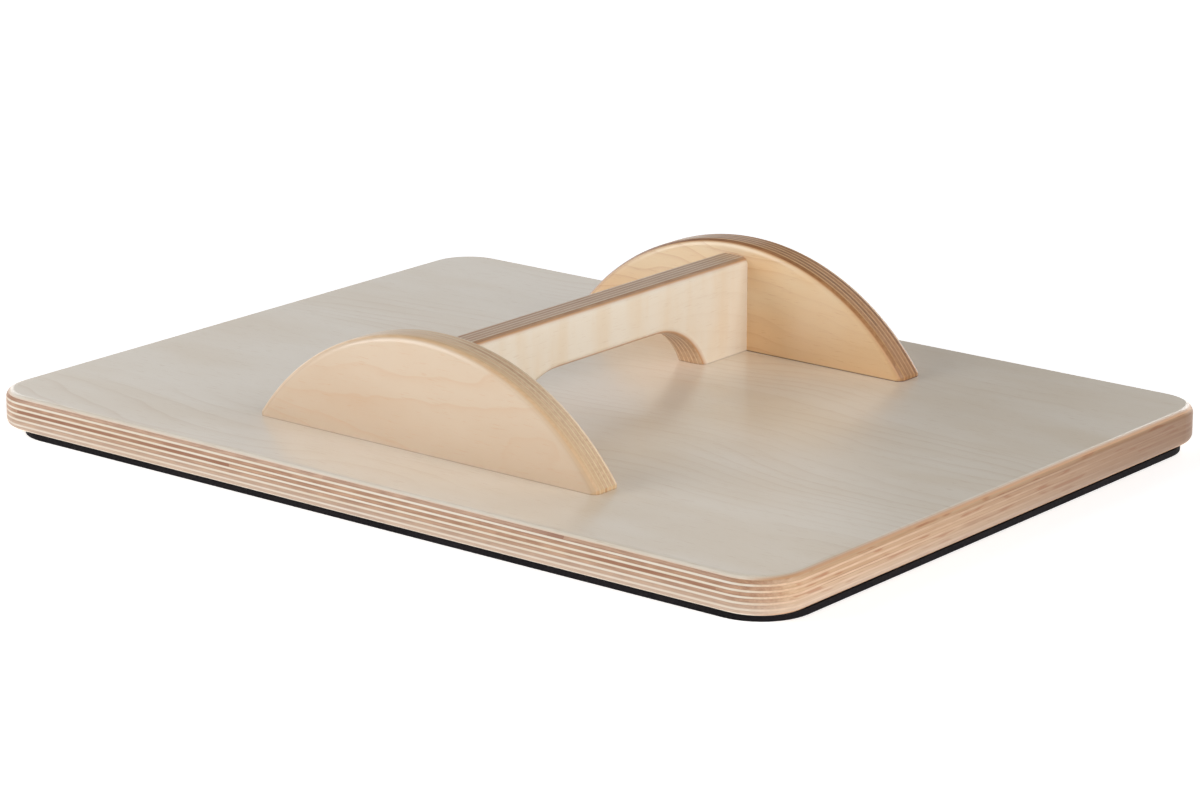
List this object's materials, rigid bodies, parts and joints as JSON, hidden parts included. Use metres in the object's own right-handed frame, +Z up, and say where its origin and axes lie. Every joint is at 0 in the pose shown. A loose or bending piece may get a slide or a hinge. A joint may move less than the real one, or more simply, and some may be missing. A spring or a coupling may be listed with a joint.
{
  "type": "rocker board seesaw",
  "caption": "Rectangular plywood seesaw board with arched rockers, a grip bar between them and an anti-slip rubber mat; it rocks on its arched edges when turned over.",
  "frame": {"origin": "under the deck's middle, on the mat's free face, which lies on the floor", "axes": "+X along the deck's long side, +Y along its short side and along the grip bar, +Z up from the mat to the rockers' crowns"},
  "size_m": [0.48, 0.36, 0.0765],
  "materials": {
    "deck_birch": "satin varnish",
    "rocker_birch": "satin varnish",
    "bar_birch": "satin varnish",
    "mat_rubber": "matt, fine texture",
    "screw_steel": "yellow passivated zinc",
    "dowel_beech": "plain sanded"
  },
  "bodies": {
    "root": {"deck": "deck_birch", "anti_slip_mat": "mat_rubber", "front_rocker": "rocker_birch", "rear_rocker": "rocker_birch", "grip_bar": "bar_birch", "front_rocker_screws": "screw_steel", "rear_rocker_screws": "screw_steel", "grip_bar_screws": "screw_steel", "front_grip_dowels": "dowel_beech", "rear_grip_dowels": "dowel_beech"}
  },
  "joints": []
}
